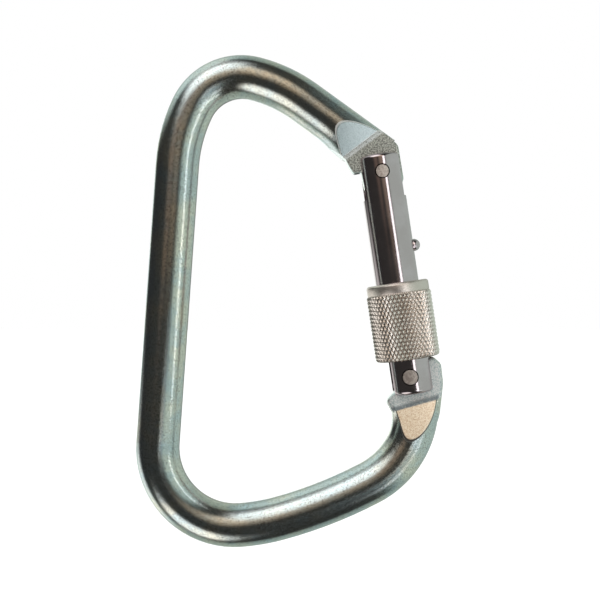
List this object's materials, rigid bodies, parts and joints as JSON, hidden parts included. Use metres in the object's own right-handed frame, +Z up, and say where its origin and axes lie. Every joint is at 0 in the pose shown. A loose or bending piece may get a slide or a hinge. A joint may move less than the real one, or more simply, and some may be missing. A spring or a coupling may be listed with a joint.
{
  "type": "locking carabiner",
  "caption": "Steel D-shaped carabiner with a sprung gate and a knurled screw sleeve that locks it; the bent round frame has a forged hook that catches a pin in the gate",
  "frame": {"origin": "inside of the upper bend, where the anchor bears; the load runs down -Z from it", "axes": "+Z up along the load, +X toward the gate, +Y through the thickness"},
  "size_m": [0.085, 0.0178, 0.1363],
  "materials": {
    "plated_frame": "bright zinc plate over forged steel, satin, with fine grain on the facets",
    "polished_gate": "turned and polished steel",
    "sleeve_steel": "nickel-plated steel, satin collar and diamond knurl",
    "pin_steel": "steel pin ends, ground flush",
    "spring_steel": "bare spring wire"
  },
  "bodies": {
    "frame": {"frame_body": "plated_frame"},
    "gate": {"gate_barrel": "polished_gate", "hinge_rivet": "pin_steel", "latch_pin": "pin_steel", "sleeve_stop": "polished_gate"},
    "plunger": {"spring_plunger": "pin_steel"},
    "spring": {"gate_spring": "spring_steel"},
    "sleeve": {"locking_sleeve": "sleeve_steel"}
  },
  "joints": [
    {"name": "gate_hinge", "type": "hinge", "parent": "frame", "child": "gate", "pos_m": [0.0391, 0, -0.0204], "axis": [0, 1, 0], "range_deg": [0, 28], "stiffness_Nm_per_rad": 0.6, "springref_deg": -28.65},
    {"name": "plunger_slide", "type": "slide", "parent": "gate", "child": "plunger", "axis": [0.1461, 0, -0.9893], "range_m": [0, 0.0015], "deforming": ["gate_spring"]},
    {"name": "sleeve_turn", "type": "hinge", "parent": "gate", "child": "spring", "pos_m": [0.0391, 0, -0.0204], "axis": [-0.1461, 0, 0.9893], "range_deg": [0, 1080]},
    {"name": "sleeve_travel", "type": "slide", "parent": "spring", "child": "sleeve", "axis": [-0.1461, 0, 0.9893], "range_m": [0, 0.0078]}
  ],
  "couplings": [
    {"joint": "plunger_slide", "follows": "gate_hinge", "m_per_rad": 0.003},
    {"joint": "sleeve_turn", "follows": "sleeve_travel", "rad_per_m": 2416.6}
  ]
}
